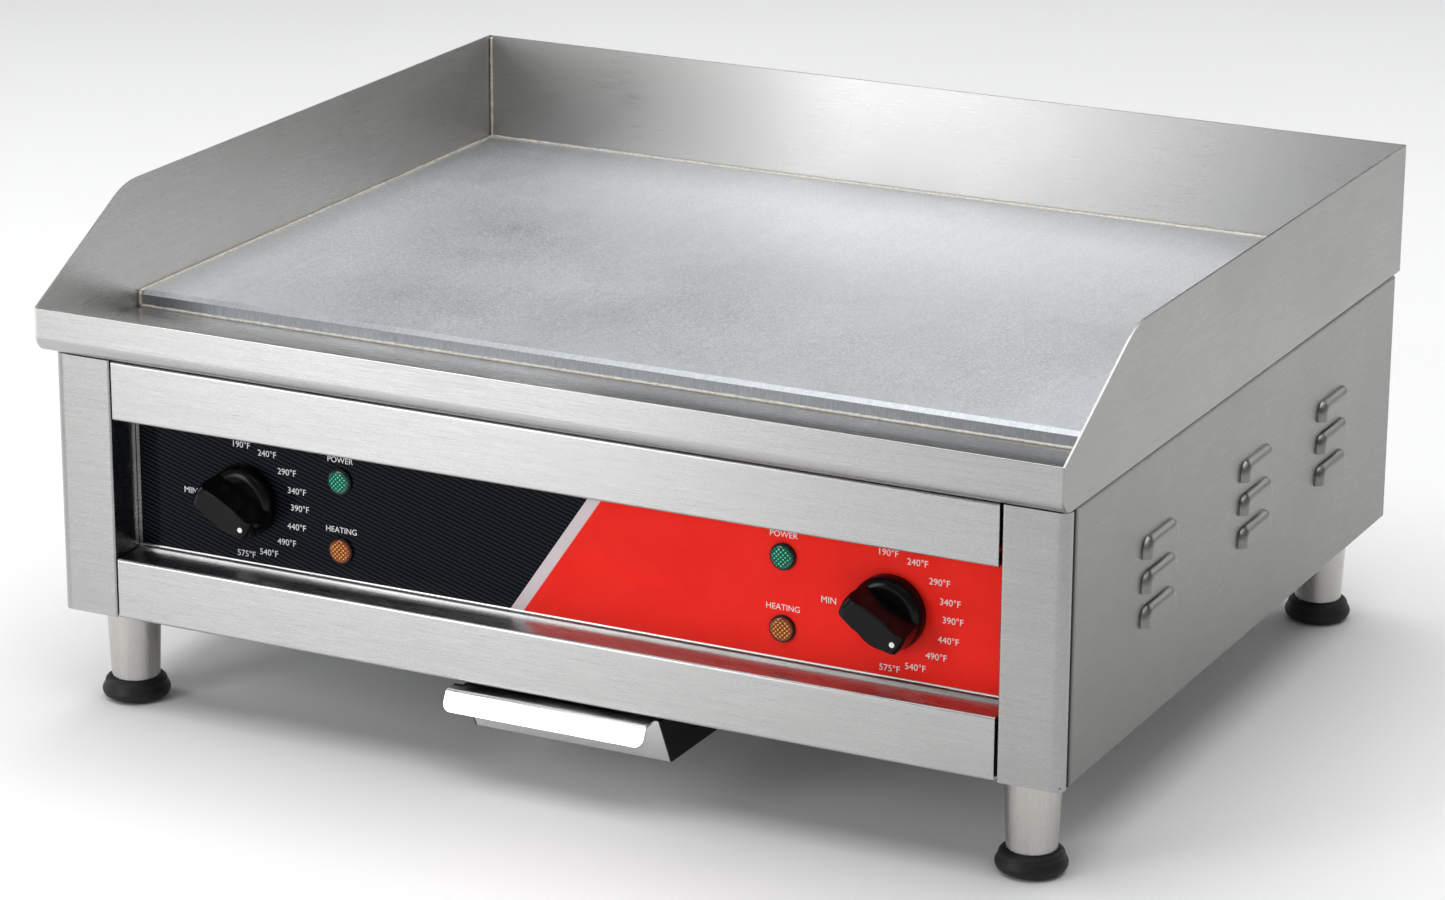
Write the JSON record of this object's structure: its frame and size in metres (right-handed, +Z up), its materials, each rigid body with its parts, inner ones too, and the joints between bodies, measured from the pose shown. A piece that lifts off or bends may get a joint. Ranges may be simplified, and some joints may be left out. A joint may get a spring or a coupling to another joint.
{
  "type": "electric griddle",
  "caption": "Countertop electric griddle: welded steel plate with splash guards and grease trough over a louvred cabinet with dials, lamps, drip tray and legs.",
  "frame": {"origin": "middle of the bounding box on the surface that the feet stand on", "axes": "+X to the right when looking at the controls, +Y from the controls to the rear, +Z up"},
  "size_m": [0.613, 0.524, 0.285],
  "materials": {
    "pan_steel": "brushed",
    "plate_steel": "ground and seasoned",
    "cabinet_steel": "brushed",
    "galvanised": "satin",
    "tray_steel": "polished",
    "gasket": "matte",
    "fasteners": "zinc plated",
    "film": "printed gloss",
    "knob_plastic": "gloss",
    "lamp_housing": "gloss",
    "green_lens": "faceted",
    "amber_lens": "faceted",
    "phenolic": "matte",
    "heater_sheath": "oxidised",
    "sensor_copper": "satin",
    "ceramic_fibre": "fibrous",
    "wire_insulation": "braided glass sleeve",
    "brass": "satin",
    "gland_plastic": "matte",
    "leg_steel": "satin",
    "foot_rubber": "matte"
  },
  "bodies": {
    "cabinet": {"base_plate": "galvanised", "base_screws": "fasteners", "cable_gland": "gland_plastic", "clamp_nuts": "fasteners", "control_film": "film", "control_panel": "cabinet_steel", "drain_tube": "tray_steel", "earth_stud": "brass", "element_clamps": "galvanised", "front_trough": "pan_steel", "gland_nut": "gland_plastic", "griddle_plate": "plate_steel", "heat_shield": "galvanised", "insulation_blanket": "ceramic_fibre", "left_front_post": "cabinet_steel", "left_heating_element": "heater_sheath", "left_heating_lamp": "lamp_housing", "left_heating_lens": "amber_lens", "left_power_lamp": "lamp_housing", "left_power_lens": "green_lens", "left_sensor": "sensor_copper", "left_side_panel": "cabinet_steel", "left_splash_guard": "pan_steel", "left_thermostat": "phenolic", "left_tray_guide": "galvanised", "leg_nuts": "fasteners", "lower_front_rail": "cabinet_steel", "machine_screws": "fasteners", "rear_panel": "cabinet_steel", "rear_panel_screws": "fasteners", "rear_splash_guard": "pan_steel", "right_front_post": "cabinet_steel", "right_heating_element": "heater_sheath", "right_heating_lamp": "lamp_housing", "right_heating_lens": "amber_lens", "right_power_lamp": "lamp_housing", "right_power_lens": "green_lens", "right_sensor": "sensor_copper", "right_side_panel": "cabinet_steel", "right_splash_guard": "pan_steel", "right_thermostat": "phenolic", "right_tray_guide": "galvanised", "seat_gasket": "gasket", "terminal_block": "phenolic", "upper_front_rail": "cabinet_steel", "zone_wiring": "wire_insulation"},
    "tray": {"drip_tray": "tray_steel"},
    "front_left_leg_and_foot": {"front_left_foot": "foot_rubber", "front_left_leg": "leg_steel"},
    "front_right_leg_and_foot": {"front_right_foot": "foot_rubber", "front_right_leg": "leg_steel"},
    "left_dial": {"left_knob": "knob_plastic", "left_thermostat_shaft": "fasteners"},
    "rear_left_leg_and_foot": {"rear_left_foot": "foot_rubber", "rear_left_leg": "leg_steel"},
    "rear_right_leg_and_foot": {"rear_right_foot": "foot_rubber", "rear_right_leg": "leg_steel"},
    "right_dial": {"right_knob": "knob_plastic", "right_thermostat_shaft": "fasteners"}
  },
  "joints": [
    {"name": "left_dial_turn", "type": "hinge", "parent": "cabinet", "child": "left_dial", "pos_m": [-0.1955, -0.242, 0.1303], "axis": [0, -1, 0], "range_deg": [-60, 210]},
    {"name": "right_dial_turn", "type": "hinge", "parent": "cabinet", "child": "right_dial", "pos_m": [0.1955, -0.242, 0.1303], "axis": [0, -1, 0], "range_deg": [-60, 210]},
    {"name": "tray_slide", "type": "slide", "parent": "cabinet", "child": "tray", "axis": [0, -1, 0], "range_m": [0, 0.16]},
    {"name": "front_left_leg_level", "type": "slide", "parent": "cabinet", "child": "front_left_leg_and_foot", "axis": [0, 0, -1], "range_m": [0, 0.008]},
    {"name": "front_right_leg_level", "type": "slide", "parent": "cabinet", "child": "front_right_leg_and_foot", "axis": [0, 0, -1], "range_m": [0, 0.008]},
    {"name": "rear_left_leg_level", "type": "slide", "parent": "cabinet", "child": "rear_left_leg_and_foot", "axis": [0, 0, -1], "range_m": [0, 0.008]},
    {"name": "rear_right_leg_level", "type": "slide", "parent": "cabinet", "child": "rear_right_leg_and_foot", "axis": [0, 0, -1], "range_m": [0, 0.008]}
  ]
}
